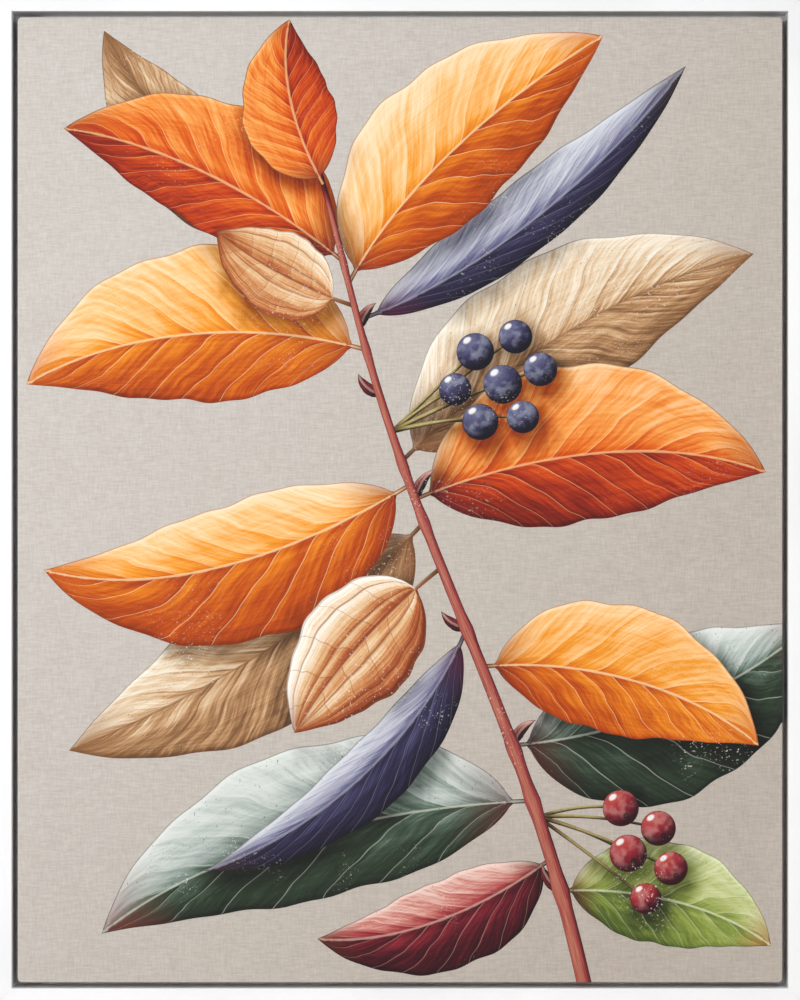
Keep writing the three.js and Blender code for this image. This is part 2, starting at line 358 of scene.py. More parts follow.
ink = {"pitch": 0.55 * mm, "roughness": 0.62, "relief": 0.00002}
# the ground darkens from left to right and towards the bottom: partly the linen print's own tone, partly
# painted shade where the lamps' light falls off
ground = {
    "left": "c9c3bd", "right": "b6aba0", "paintedShadeFall": 0.5, "patch": "c2bab0", "mottle": 0.25, "threads": 0.55,
    "threadsOver": 0.45,
}
specks = {"pale": "f6efe2", "dark": "3a2416", "clouds": 16.0, "dots": 520.0, "flecks": 430.0}
leafCommon = {"bend": 0.10, "quilt": 0.20, "streaks": 0.50, "seams": 0.0, "veins": 0.50, "speckle": 0.5}
leafLooks = {  # what a leaf has of its own
    "amberLeaf": {
        "tones": "7a2604 b84708 dc7411 f09a2c f9c27e fde6c4", "vein": "ffe2ae", "rim": "8e3408",
        "base": "8c2a16", "tip": "c4560c", "fold": 0.24, "curl": 0.16, "ribs": 9.0, "slant": 2.1,
        "quilt": 0.22, "veins": 0.55, "speckle": 0.25,
    },
    "emberLeaf": {
        "tones": "4a0f0a 8e220d c4400f e06a18 f3a04c fbd8aa", "vein": "ffcf92", "rim": "5e1408",
        "base": "5a1020", "tip": "8e1f10", "fold": 0.26, "curl": 0.18, "ribs": 10.0, "slant": 2.4,
        "bend": 0.12, "quilt": 0.24, "speckle": 0.25,
    },
    "strawLeaf": {
        "tones": "5c3d26 946a45 c09468 dbbc97 ecdac0 faf3e6", "vein": "7c5232", "rim": "6e4a2c",
        "base": "7c4a2c", "tip": "8c5e38", "fold": 0.16, "curl": 0.16, "ribs": 12.0, "slant": 2.6,
        "bend": 0.12, "quilt": 0.22, "streaks": 0.85, "veins": 0.55, "speckle": 0.6,
    },
    "sageLeaf": {
        "tones": "141a14 2b3a2a 4c6050 82938a b4beb8 e3e7e2", "vein": "d6dccb", "rim": "1a2418",
        "base": "5c2a2a", "tip": "7c3a34", "fold": 0.26, "curl": 0.22, "ribs": 8.0, "slant": 1.9,
        "bend": 0.12, "streaks": 0.45, "speckle": 0.9,
    },
    "plumLeaf": {
        "tones": "120f1e 2a2543 474468 6f6d8e a3a5b8 d9dbe2", "vein": "c9cbd8", "rim": "14101e",
        "base": "5a2038", "tip": "3a2a24", "fold": 0.30, "curl": 0.22, "ribs": 11.0, "slant": 3.0,
        "quilt": 0.14, "streaks": 0.60, "veins": 0.30,
    },
    "freshLeaf": {
        "tones": "2b3314 56682a 84953f aab568 ced49e ecefd2", "vein": "eef0cc", "rim": "3c4a1c",
        "base": "7c4a2a", "tip": "a8603a", "fold": 0.24, "curl": 0.20, "ribs": 8.0, "slant": 2.0,
        "streaks": 0.45,
    },
    "wineLeaf": {
        "tones": "22060c 4c0f1c 801f2c ac4648 d08a7e f2d4c8", "vein": "ecbfae", "rim": "2a060c",
        "base": "3a1018", "tip": "5a2a1c", "fold": 0.26, "curl": 0.20, "ribs": 9.0, "slant": 2.4,
        "veins": 0.45,
    },
    "paperPod": {
        "tones": "6c2c14 a8522a cc8a54 e3b98a f2dcc0 fdf8ee", "vein": "84401e", "rim": "6e361a",
        "base": "5c5a2c", "tip": "8c3c1c", "fold": 0.0, "curl": 0.42, "ribs": 7.0, "slant": 0.7,
        "quilt": 0.08, "streaks": 0.60, "seams": 1.9, "veins": 0.60,
    },
}
stemLooks = {
    "mainStem": "2a0a12 5e1a1c 94383a b8705a dcae92 f2dcc6",
    "fineStem": "1e1810 4a3a22 7c6a3e a89a62 cfc496 eee6c8",
}
berryLooks = {
    "inkBerry": {"tones": "0d0b18 211c38 3d3a5c 6a6a8c a6aabf e6e8ee", "rim": "0d0b18", "bloom": "9a9fb4"},
    "redBerry": {"tones": "2a0610 5e1222 94222e bc4a44 de8f7c f8dccc", "rim": "2a0610", "bloom": "c88a84"},
}
berryMarks = {"light": (-0.45, 0.62, 0.64), "glint": "fbfaf6", "scar": "0c0a10", "scarPlace": (0.30, -0.42)}


def startPrint(name):
    return startMaterial(name, {"Specular IOR Level": 0.25})


def finishPrint(material, tree, shader, inked):
    threads = useGroup(tree, weave, Pitch=ink["pitch"])
    gloss = around(tree, ink["roughness"], threads["Streaks"], 0.06)
    dress(tree, shader, inked, gloss, threads["Height"], ink["relief"])
    return material


def makeGround():
    material, tree, shader = startPrint("linenGround")
    threads = useGroup(tree, weave, Pitch=ink["pitch"])
    place = surfacePoint(tree)
    x, _, z = parted(tree, place)
    # painted shade: the ground's colour slopes darker to the right and to the bottom, standing in for the
    # lamps' falloff as well as the print's own tone
    paintedShadeSlope = total(tree, x, times(tree, z, -ground["paintedShadeFall"]), ground["paintedShadeFall"] * middle.z)
    base = blend(tree, soft(tree, paintedShadeSlope, -0.5, 0.5), ground["left"], ground["right"])
    mottle = soft(tree, noise(tree, place, 28.0, 4.0, 0.6), 0.3, 0.7)
    base = blend(tree, times(tree, mottle, ground["mottle"]), base, ground["patch"])
    level = around(tree, 0.5, threads["Streaks"], ground["threads"])
    grey = put(tree, "CombineColor", {0: level, 1: level, 2: level}).outputs[0]
    return finishPrint(material, tree, shader, blend(tree, ground["threadsOver"], base, grey, "OVERLAY"))


# The print map holds how far along a leaf a point is, 0 to 1, and how far across it, -1 to 1. The drawn
# light holds how the leaf's two ways face the light, how deep in another leaf's shade the point is, and the
# leaf's half breadth in cm.

leafForms = ["Fold", "Curl", "Bend", "Ribs", "Slant", "Quilt", "Streaks", "Seams"]
leafShading = {"level": 0.52, "blotch": 0.30, "groove": -0.16, "roll": 0.22, "bulge": 0.30, "shade": -0.24}
ownSpread = 60.0  # from a motif's own number, 0 to 1, to a part of the noise that is its own


def onMotif(tree):
    return parted(tree, put(tree, "UVMap", uv_map="print").outputs[0])[:2]


def drawnLight(tree, drawn):
    return put(tree, "SeparateColor", {0: drawn["Color"]}).outputs


def makeLeafGroup():
    tree, given, made = startGroup("drawnLeaf", leafForms, ["Tone", "Rib", "Rim", "Along", "Shade"])
    along, across = onMotif(tree)
    drawn = attribute(tree, "drawn")
    lateral, lengthwise, shade = drawnLight(tree, drawn)
    breadth = drawn["Alpha"]
    own = times(tree, attribute(tree, "own")["Fac"], ownSpread)
    side = calc(tree, "SIGN", across)
    out = calc(tree, "ABSOLUTE", across)

    def streaks(stretch, fine, detail):
        vector = joined(tree, times(tree, along, stretch), times(tree, across, fine), own)
        return centred(tree, noise(tree, vector, 1.0, detail, 0.6))

    # the blade's two halves, bent along and across
    fold = times(tree, side, lateral, given["Fold"])
    curl = times(tree, side, lateral, given["Curl"], less(tree, times(tree, out, 2.0), 0.7))
    bend = times(tree, lengthwise, given["Bend"], fromOne(tree, times(tree, along, 2.0)))
    blotch = times(tree, streaks(2.2, 1.6, 2.0), leafShading["blotch"])

    # side ribs, and the cloth of the leaf puffed up between them
    drift = times(tree, streaks(5.0, 2.0, 1.0), 0.5)
    rise = times(tree, calc(tree, "POWER", out, 0.8), given["Slant"])
    ribPlace = less(tree, total(tree, times(tree, along, given["Ribs"]), own, drift), rise)
    ribPlace = calc(tree, "ADD", ribPlace, times(tree, calc(tree, "GREATER_THAN", across, 0.0), 0.45))
    between = calc(tree, "FRACT", ribPlace)
    quilt = times(tree, centred(tree, between), given["Quilt"], less(tree, 1.15, out))

    # fine lines along a leaf with seams, and across the others
    fibreVector = joined(tree, times(tree, ribPlace, 7.0), times(tree, out, 2.2), own)
    fibre = centred(tree, noise(tree, fibreVector, 1.0, 3.0, 0.6))
    seamed = calc(tree, "MINIMUM", given["Seams"], 1.0)
    lengthLines = total(tree, streaks(2.5, 9.0, 3.0), streaks(4.0, 30.0, 2.0))
    lengthLines = times(tree, lengthLines, around(tree, 0.35, seamed, 0.65))
    crossLines = times(tree, fibre, less(tree, 1.3, seamed))
    lines = times(tree, total(tree, lengthLines, crossLines), given["Streaks"])

    # the midrib's groove, the rolled rim, and the panels between the seams of a pod
    fromMidrib = times(tree, out, breadth)
    fromRim = times(tree, fromOne(tree, out), breadth)
    groove = times(tree, soft(tree, fromMidrib, 0.9, 0.0), leafShading["groove"])
    roll = times(tree, soft(tree, fromRim, 0.5, 0.0), side, lateral, leafShading["roll"])
    panels = times(tree, calc(tree, "ARCSINE", across), given["Seams"])
    panel = calc(tree, "FRACT", calc(tree, "ADD", panels, 0.5))
    bulge = times(tree, centred(tree, panel), lateral, seamed, leafShading["bulge"])

    dark = times(tree, shade, leafShading["shade"])
    formed = total(tree, leafShading["level"], fold, curl, bend, quilt, blotch)
    tone = total(tree, formed, lines, groove, roll, bulge, dark)
    plug(tree, made["Tone"], soft(tree, tone, -0.22, 1.22))
    plug(tree, made["Shade"], shade)
    ribWidth = around(tree, 0.012, fromOne(tree, out), 0.018)
    ribs = fromOne(tree, calc(tree, "DIVIDE", nearerEnd(tree, between), ribWidth), clamp=True)
    midrib = soft(tree, fromMidrib, 0.13, 0.05)
    seamLine = times(tree, soft(tree, nearerEnd(tree, panel), 0.07, 0.02), seamed)
    plug(tree, made["Rib"], calc(tree, "MAXIMUM", calc(tree, "MAXIMUM", ribs, midrib), seamLine))
    plug(tree, made["Rim"], soft(tree, fromRim, 0.12, 0.03))
    plug(tree, made["Along"], along)
    return tree


drawnLeaf = makeLeafGroup()


def speckled(tree, inked, amount):
    place = surfacePoint(tree)
    cloud = soft(tree, noise(tree, place, specks["clouds"], 3.0), 0.48, 0.66)
    dots = soft(tree, noise(tree, place, specks["dots"], 2.0, 0.6), 0.62, 0.70)
    stretched = mapped(tree, place, (1.3, 1, 0.9))
    flecks = soft(tree, noise(tree, stretched, specks["flecks"], 2.0, 0.6), 0.66, 0.72)
    inked = blend(tree, times(tree, dots, cloud, amount), inked, specks["pale"])
    return blend(tree, times(tree, flecks, amount, 0.7), inked, specks["dark"])


def makeLeaf(name):
    look = {**leafCommon, **leafLooks[name]}
    material, tree, shader = startPrint(name)
    leaf = useGroup(tree, drawnLeaf, **{form: look[form.lower()] for form in leafForms})
    inked = ramp(tree, leaf["Tone"], look["tones"])
    toBase = times(tree, soft(tree, leaf["Along"], 0.22, 0.0), 0.8)
    inked = blend(tree, toBase, inked, look["base"])
    toTip = times(tree, soft(tree, leaf["Along"], 0.80, 1.0), 0.65)
    inked = blend(tree, toTip, inked, look["tip"])
    inked = blend(tree, times(tree, leaf["Rib"], look["veins"]), inked, look["vein"])
    inked = blend(tree, times(tree, leaf["Rim"], 0.65), inked, look["rim"])
    inked = blend(tree, times(tree, leaf["Shade"], 0.62), inked, "3a2c30", "MULTIPLY")
    return finishPrint(material, tree, shader, speckled(tree, inked, look["speckle"]))


def makeStem(name):
    material, tree, shader = startPrint(name)
    along, across = onMotif(tree)
    lateral, _, shade = drawnLight(tree, attribute(tree, "drawn"))
    roundness = calc(tree, "SQRT", fromOne(tree, times(tree, across, across), clamp=True))
    lit = total(tree, times(tree, across, lateral, 0.45), times(tree, roundness, 0.45))
    vector = joined(tree, times(tree, along, 26.0), times(tree, across, 5.0), 0.0)
    fibre = times(tree, centred(tree, noise(tree, vector, 1.0, 3.0, 0.6)), 0.55)
    tone = less(tree, total(tree, lit, fibre, 0.08), times(tree, shade, 0.4), clamp=True)
    inked = ramp(tree, tone, stemLooks[name])
    return finishPrint(material, tree, shader, speckled(tree, inked, 0.5))


def makeBerry(name):
    look = berryLooks[name]
    material, tree, shader = startPrint(name)
    x, z = onMotif(tree)
    shade = drawnLight(tree, attribute(tree, "drawn"))[2]
    squares = total(tree, times(tree, x, x), times(tree, z, z))
    front = calc(tree, "SQRT", fromOne(tree, squares, clamp=True))
    lit = zip((x, z, front), berryMarks["light"])
    facing = total(tree, *[times(tree, way, share) for way, share in lit])
    vector = joined(tree, x, z, times(tree, attribute(tree, "own")["Fac"], ownSpread))
    mottle = centred(tree, noise(tree, vector, 3.0, 4.0, 0.65))
    bounce = times(tree, soft(tree, squares, 0.55, 1.0), soft(tree, facing, 0.1, -0.5), 0.22)
    tone = total(tree, times(tree, facing, 0.52), bounce, times(tree, mottle, 0.25), 0.06)
    tone = less(tree, tone, times(tree, shade, 0.35), clamp=True)
    inked = ramp(tree, tone, look["tones"])
    cloudy = soft(tree, noise(tree, vector, 1.6, 3.0), 0.42, 0.66)
    bloom = times(tree, cloudy, soft(tree, facing, -0.1, 0.7), 0.55)
    inked = blend(tree, bloom, inked, look["bloom"])
    glint = times(tree, soft(tree, facing, 0.955, 0.99), 0.85)
    inked = blend(tree, glint, inked, berryMarks["glint"])
    gaps = [less(tree, way, at) for way, at in zip((x, z), berryMarks["scarPlace"])]
    fromScar = calc(tree, "SQRT", total(tree, *[times(tree, gap, gap) for gap in gaps]))
    hollow = times(tree, soft(tree, fromScar, 0.10, 0.04), 0.5)
    scar = less(tree, soft(tree, fromScar, 0.20, 0.12), hollow)
    inked = blend(tree, times(tree, scar, 0.8), inked, berryMarks["scar"])
    inked = blend(tree, times(tree, soft(tree, squares, 0.86, 0.99), 0.5), inked, look["rim"])
    return finishPrint(material, tree, shader, speckled(tree, inked, 0.6))


printLooks = ["linenGround"] + list(leafLooks) + list(stemLooks) + list(berryLooks)
printMaterials = [makeGround()]
printMaterials += [makeLeaf(name) for name in leafLooks]
printMaterials += [makeStem(name) for name in stemLooks]
printMaterials += [makeBerry(name) for name in berryLooks]
rawCloth = makeRawCloth()
zinc = makeMetal("zincPlate")
wire = makeMetal("stapleWire")
rubber = makeRubber()
white = makePaint()
pineAcross = makePine("pineAcross", 0)
pineUpright = makePine("pineUpright", quarterTurn)
print("materials built")


# The drawing, in mm from the middle of the canvas, x to the right and z up. A motif covers those before it.

samples = 110   # points along every line that is drawn
tiny = 1e-9     # keeps a division away from zero
drawing = {"light": np.array((-0.6, 0.8)), "shadeDrop": np.array((4.0, -6.0)), "shadeReach": 16.0}
branch = {
    "stem": ((150, -400), (118, -250), (70, -110), (-20, 10), (-30, 150), (-66, 268)),
    "thick": 12, "thin": 4, "knots": (0.12, 0.22, 0.28, 0.42, 0.55, 0.62, 0.76, 0.87),
    # look, where it leaves the stem from 0 to 1, tip, breadth, bow, hook, lean
    "leaves": (
        ("strawLeaf", 0.62, (282, 196), 118, 0.08, 0.02, 0.12),
        ("sageLeaf", 0.28, (330, -96), 128, -0.10, -0.02, -0.10),
        ("freshLeaf", 0.12, (296, -356), 84, 0.10, 0.03, 0.12),
        ("strawLeaf", 0.55, (-264, -200), 112, 0.08, -0.02, 0.10),
        ("sageLeaf", 0.22, (-238, -346), 122, -0.08, -0.04, -0.14),
        ("plumLeaf", 0.80, (228, 346), 56, -0.10, 0.02, 0.2),
        ("strawLeaf", 0.90, (-236, 374), 88, 0.10, 0.02, 0.15),
        ("emberLeaf", 0.58, (292, 22), 128, 0.10, 0.04, 0.16),
        ("amberLeaf", 0.76, (-298, 92), 124, -0.12, -0.02, -0.12),
        ("emberLeaf", 0.87, (-268, 296), 104, -0.08, -0.02, -0.2),
        ("amberLeaf", 0.84, (162, 370), 116, 0.10, -0.03, 0.14),
        ("plumLeaf", 0.42, (-156, -296), 54, 0.14, 0.0, 0.2),
        ("amberLeaf", 0.60, (-284, -56), 112, 0.10, 0.06, 0.16),
        ("wineLeaf", 0.16, (-66, -350), 72, 0.10, 0.04, 0.16),
        ("amberLeaf", 0.38, (286, -196), 104, 0.12, 0.02, 0.12),
    ),
    "topLeaf": ("emberLeaf", 0.97, (-88, 383), 74, 0.10, 0.04, 0.1),
    # look, where it leaves the stem, and each berry's place and radius
    "sprays": (
        ("inkBerry", 0.66, (
            (60, 118, 15), (92, 130, 13.5), (44, 88, 13), (82, 92, 15.5), (112, 104, 13.5), (64, 62, 14.5),
            (98, 66, 13),
        )),
        ("redBerry", 0.20, (
            (176, -246, 14.5), (206, -262, 14), (182, -282, 15), (216, -294, 13.5), (196, -318, 12.5),
        )),
    ),
    "stalk": {"thick": 3.2, "thin": 2.0, "sag": 0.12, "lift": 8},
    # where it leaves the stem, tip, breadth, bow
    "pods": ((0.50, (-84, -186), 92, -0.06), (0.82, (-146, 214), 68, 0.06)),
    "podForm": {"broadest": 0.40, "blunt": 0.62, "stalk": 0.16},
    # where it leaves the stem, and how far it reaches
    "buds": (
        (0.12, -15, 22), (0.28, 19, 20), (0.42, -20, 14), (0.58, 16, 24), (0.71, -17, 17), (0.79, 13, 20),
    ),
    "budBreadth": 9, "budForm": {"broadest": 0.36, "blunt": 0.6, "stalk": 0.0},
}
motifs = []


def bezier(points):
    t = np.linspace(0, 1, samples)[:, None]
    points = [np.array(point, dtype=float) for point in points]
    while len(points) > 1:
        points = [a + (b - a) * t for a, b in zip(points, points[1:])]
    return points[0]


def addRibbon(look, spine, left, right):
    speed = np.linalg.norm(np.gradient(spine, axis=0), axis=1)
    along = np.gradient(spine, axis=0) / speed[:, None]
    across = np.stack((-along[:, 1], along[:, 0]), axis=1)
    outline = np.concatenate((spine - across * right[:, None], (spine + across * left[:, None])[::-1]))
    inner = [spine[1:-1:2]]
    for share in (0.36, 0.7):
        inner += [spine[1:-1:2] + across[1:-1:2] * left[1:-1:2, None] * share]
        inner += [spine[1:-1:2] - across[1:-1:2] * right[1:-1:2, None] * share]
    wide = np.tile(left[1:-1:2] + right[1:-1:2] > 12, len(inner))
    motifs.append({
        "look": look, "outline": outline, "inner": np.concatenate(inner)[wide], "spine": spine,
        "speed": speed, "along": along, "across": across, "left": left, "right": right,
    })


def addLeaf(look, base, tip, breadth, bow, hook, lean, broadest=0.42, blunt=0.72, stalk=0.05):
    # bow and hook bend the spine, lean makes one half broader, and broadest is where along it the leaf is so
    base, tip = np.array(base, dtype=float), np.array(tip, dtype=float)
    way = tip - base
    aside = np.array((-way[1], way[0]))
    spine = bezier((base, base + way * 0.3 + aside * bow, base + way * 0.7 + aside * (bow + hook), tip))
    t = np.linspace(0, 1, samples)
    blade = np.clip((t - stalk) / (1 - stalk), 0, 1)
    sharp = blunt * (1 - broadest) / broadest
    form = blade ** blunt * (1 - blade) ** sharp / (broadest ** blunt * (1 - broadest) ** sharp)
    sway = rng.uniform(0, 6)
    ripple = 1 + 0.025 * np.sin(t * 21 + sway) + 0.015 * np.sin(t * 47 + 2 * sway)
    half = np.maximum(breadth / 2 * form * ripple, 1.8 * (1 - t))
    addRibbon(look, spine, half * (1 + lean), half * (1 - lean))


def addStem(look, line, thick, thin, knots=()):
    t = np.linspace(0, 1, samples)
    half = (thick + (thin - thick) * t) / 2
    for knot in knots:
        half *= 1 + 0.28 * np.exp(-((t - knot) / 0.012) ** 2)
    addRibbon(look, line, half, half)


def addBerry(look, x, z, radius):
    turns = np.linspace(0, 2 * pi, 33)[:-1]
    ring = np.stack((np.cos(turns), np.sin(turns)), axis=1)
    centre = np.array((x, z), dtype=float)
    inner = (centre[None], centre + ring[::4] * radius * 0.45, centre + ring[::2] * radius * 0.78)
    motifs.append({
        "look": look, "outline": centre + ring * radius, "inner": np.concatenate(inner), "centre": centre,
        "radius": radius,
    })


def addSpray(look, root, berries):
    # berries on fine stalks that leave one root
    stalk = branch["stalk"]
    for x, z, radius in berries:
        elbow = ((root[0] + x) / 2 + stalk["sag"] * (z - root[1]), (root[1] + z) / 2 + stalk["lift"])
        addStem("fineStem", bezier((root, elbow, (x, z))), stalk["thick"], stalk["thin"])
    for x, z, radius in berries:
        addBerry(look, x, z, radius)


def draw():
    stem = bezier(branch["stem"])

    def node(share):
        return stem[round(share * (samples - 1))]

    def springLeaf(look, share, *form):
        addLeaf(look, node(share), *form)

    for leaf in branch["leaves"]:
        springLeaf(*leaf)
    for look, share, berries in branch["sprays"]:
        addSpray(look, node(share), berries)
    for share, tip, breadth, bow in branch["pods"]:
        addLeaf("paperPod", node(share), tip, breadth, bow, 0.0, 0.0, **branch["podForm"])
    for share, x, z in branch["buds"]:
        tip = node(share) + (x, z)
        addLeaf("wineLeaf", node(share), tip, branch["budBreadth"], 0.12, 0.04, 0.1, **branch["budForm"])
    addStem("mainStem", stem, branch["thick"], branch["thin"], branch["knots"])
    springLeaf(*branch["topLeaf"])


def depthInside(points, outline):
    # mm inside an outline, or less than 0 outside it
    edge = np.roll(outline, -1, axis=0) - outline
    gap = points[:, None] - outline[None]
    share = np.clip((gap * edge).sum(2) / np.maximum((edge ** 2).sum(1), tiny), 0, 1)
    distance = np.linalg.norm(gap - share[..., None] * edge, axis=2).min(1)
    above = points[:, None, 1] < outline[None, :, 1]
    aboveNext = points[:, None, 1] < np.roll(outline, -1, axis=0)[None, :, 1]
    rise = np.where(np.abs(edge[:, 1]) < tiny, tiny, edge[:, 1])
    meets = outline[:, 0] + gap[..., 1] / rise * edge[:, 0]
    inside = ((above != aboveNext) & (points[:, None, 0] < meets)).sum(1) % 2 == 1
    return np.where(inside, distance, -distance)


def shadeOn(points, above):
    deepest = np.zeros(len(points))
    for motif in above:
        depth = depthInside(points, motif["outline"] + drawing["shadeDrop"])
        deepest = np.maximum(deepest, np.clip(1 + depth / drawing["shadeReach"], 0, 1) ** 2)
    return deepest


def placesOn(motif, points):
    # the print map, and the drawn light, at each of the points
    if "radius" in motif:
        zero = np.zeros(len(points))
        return (points - motif["centre"]) / motif["radius"], zero, zero, zero + motif["radius"] / 10
    near = np.argmin(((points[:, None] - motif["spine"][None]) ** 2).sum(2), axis=1)
    gap = points - motif["spine"][near]
    at = near + np.clip((gap * motif["along"][near]).sum(1) / motif["speed"][near], -1, 1)
    offset = (gap * motif["across"][near]).sum(1)
    steps = np.arange(samples)
    half = np.where(offset > 0, np.interp(at, steps, motif["left"]), np.interp(at, steps, motif["right"]))
    place = np.stack((at / (samples - 1), np.clip(offset / np.maximum(half, 0.01), -1, 1)), axis=1)
    lateral = motif["across"] @ drawing["light"]
    lengthwise = motif["along"] @ drawing["light"]
    return place, np.interp(at, steps, lateral), np.interp(at, steps, lengthwise), half / 10


# The canvas: the drawn face, then its edges and sides, and the border folded over the backs of the bars.

canvas = {
    "thick": 0.6 * mm, "corner": 3.6 * mm, "edge": 1.0 * mm, "edgeSteps": 5, "turnIn": 0.4 * mm,
    "fold": 35 * mm, "foldRings": (0.12, 0.22, 0.4, 0.6, 0.8, 1.0), "frayed": 0.5 * mm,
    "creaseFrom": 9.5 * mm, "creaseWidth": 16 * mm, "creaseHeight": 0.5 * mm,
    "pointsPerMetre": 490, "arcPoints": 6, "grid": 30, "flat": (0.7356, 0.8956),
}
cornerCore = clothHalf - Vector((canvas["corner"], canvas["corner"]))


def ofKind(items, kind):
    return [item for item in items if isinstance(item, kind)]


def linked(mesh, name, materials):
    data = bpy.data.meshes.new(name)
    mesh.to_mesh(data)
    mesh.free()
    for material in materials:
        data.materials.append(material)
    piece = bpy.data.objects.new(name, data)
    bpy.context.collection.objects.link(piece)
    return piece


def cornerParts(point):
    # the middle of the corner's arc, or the nearest point of a straight side's line, and the way out from it
    centre = Vector([min(max(at, -core), core) for at, core in zip(point, cornerCore)])
    return centre, (point - centre).normalized()


def ringPoint(parts, inset):
    centre, way = parts
    radius = max(canvas["corner"] - inset, canvas["turnIn"])
    scale = [(half - inset - radius) / core for half, core in zip(clothHalf, cornerCore)]
    return Vector((centre.x * scale[0] + way.x * radius, centre.y * scale[1] + way.y * radius))


def frontRing():
    # the drawn face's own outline, in mm, closer set towards the corners
    radius = canvas["corner"] - canvas["edge"]
    arc = np.linspace(0, quarterTurn, canvas["arcPoints"])
    ring = []
    for turn in range(4):
        across, upright = (cornerCore.y, cornerCore.x) if turn % 2 else cornerCore
        sweep = np.linspace(-1, 1, round(upright * canvas["pointsPerMetre"]))[1:-1]
        run = 0.85 * np.sin(sweep * quarterTurn) + 0.15 * sweep
        side = [(across + radius, upright * share) for share in run]
        side += [(across + radius * cos(a), upright + radius * sin(a)) for a in arc]
        cosine, sine = cos(turn * quarterTurn), sin(turn * quarterTurn)
        ring += [(u * cosine - v * sine, u * sine + v * cosine) for u, v in side]
    return np.array(ring) / mm


def drawnFace(mesh, layers):
    # triangles in which no edge crosses a motif's outline
    points = [frontRing()] + [motif["outline"] for motif in motifs]
    starts = np.cumsum([0] + [len(outline) for outline in points])
    outlines = [list(range(start, end)) for start, end in zip(starts, starts[1:])]
    columns = np.arange(-285, 286, canvas["grid"])
    rows = np.arange(-375, 376, canvas["grid"])
    grid = np.stack(np.meshgrid(columns, rows), axis=2).reshape(-1, 2)
    inner = np.concatenate([motif["inner"] for motif in motifs] + [grid])
    half = (clothHalf - Vector((canvas["edge"], canvas["edge"]))) / mm
    points.append(inner[(np.abs(inner[:, 0]) < half.x - 1) & (np.abs(inner[:, 1]) < half.y - 1)])
    places = [Vector(point) for point in np.concatenate(points)]
    made = geometry.delaunay_2d_cdt(places, [], outlines, 0, 0.001, True)
    places = np.array([tuple(point) for point in made[0]])
    verts = [mesh.verts.new((x * mm, clothLow.y, z * mm + middle.z)) for x, z in places]
    owners = [max(owner) if 0 in owner else -1 for owner in made[5]]
    for number in range(len(motifs) + 1):
        faces = [triangle for triangle, owner in zip(made[2], owners) if owner == number]
        used = np.unique(np.array(faces, dtype=int))
        light = np.zeros((len(used), 4))
        at = np.zeros((len(used), 2))
        look = "linenGround"
        own = 0.0
        if number:
            motif = motifs[number - 1]
            at, light[:, 0], light[:, 1], light[:, 3] = placesOn(motif, places[used])
            light[:, 2] = shadeOn(places[used], motifs[number:])
            look = motif["look"]
            own = rng.uniform(0, 1)
        row = {vert: i for i, vert in enumerate(used)}
        for triangle in faces:
            face = mesh.faces.new([verts[i] for i in triangle])
            face.material_index = printLooks.index(look)
            face[layers["own"]] = own
            for loop, vert in zip(face.loops, triangle):
                loop[layers["print"]].uv = at[row[vert]]
                loop[layers["drawn"]] = light[row[vert]]
    bmesh.ops.delete(mesh, geom=[vert for vert in mesh.verts if not vert.link_faces], context="VERTS")


def ringSteps():
    # inset from the sides and depth in y of each ring, from the face round to the fold's cut edge
    edge = canvas["edge"]
    turns = np.linspace(0, quarterTurn, canvas["edgeSteps"] + 1)
    rings = [(edge * (1 - sin(turn)), clothLow.y + edge * (1 - cos(turn))) for turn in turns[1:]]
    rings += [(0, clothLow.y + (clothHigh.y - clothLow.y) * share) for share in (0.35, 0.65)]
    rings += [(edge * (1 - cos(turn)), clothHigh.y - edge * (1 - sin(turn))) for turn in turns]
    rings += [(edge + (canvas["fold"] - edge) * share, clothHigh.y) for share in canvas["foldRings"]]
    return rings


def creaseHeight(place, inset):
    # beside each corner's diagonal the folded cloth lies higher
    gapX = clothHalf.x - abs(place.x)
    gapZ = clothHalf.y - abs(place.y)
    if inset > canvas["creaseFrom"] and gapX < gapZ < gapX + canvas["creaseWidth"]:
        return canvas["creaseHeight"] * (1 - (gapZ - gapX) / canvas["creaseWidth"])
    return 0


def makeCanvas():
    mesh = bmesh.new()
    layers = {
        "print": mesh.loops.layers.uv.new("print"), "drawn": mesh.loops.layers.float_color.new("drawn"),
        "own": mesh.faces.layers.float.new("own"), "ring": mesh.verts.layers.int.new("ring"),
    }
    drawnFace(mesh, layers)
    print("drawn face:", len(mesh.faces), "triangles")
    edges = [edge for edge in mesh.edges if edge.is_boundary]
    parts = []
    for vert in dict.fromkeys(vert for edge in edges for vert in edge.verts):
        vert[layers["ring"]] = len(parts)
        parts.append(cornerParts(Vector((vert.co.x, vert.co.z - middle.z))))
    jitter = rng.uniform(-canvas["frayed"], canvas["frayed"], len(parts))
    rawFrom = clothHigh.y - 0.3 * canvas["edge"]
    for inset, depth in ringSteps():
        made = bmesh.ops.extrude_edge_only(mesh, edges=edges)["geom"]
        for vert in ofKind(made, bmesh.types.BMVert):
            number = vert[layers["ring"]]
            cut = jitter[number] if inset == canvas["fold"] else 0
            place = ringPoint(parts[number], inset + cut)
            vert.co = (place.x, depth + creaseHeight(place, inset), place.y + middle.z)
        for face in ofKind(made, bmesh.types.BMFace):
            face.smooth = True
            if depth > rawFrom:
                face.material_index = len(printLooks)
        edges = [edge for edge in ofKind(made, bmesh.types.BMEdge) if edge.is_boundary]
    piece = linked(mesh, "printed_canvas", printMaterials + [rawCloth])
    wall = piece.modifiers.new("clothThickness", "SOLIDIFY")
    wall.thickness = canvas["thick"]
    wall.offset = -1
    wall.material_offset = len(printLooks)
    wall.material_offset_rim = len(printLooks)
    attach(piece, "root")
    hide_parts("canvas")
    return piece


draw()
printedCanvas = makeCanvas()
print("canvas made")


# Mitred rails and bars. Outlines run from the outer edge inwards and from the back face forwards, in mm.

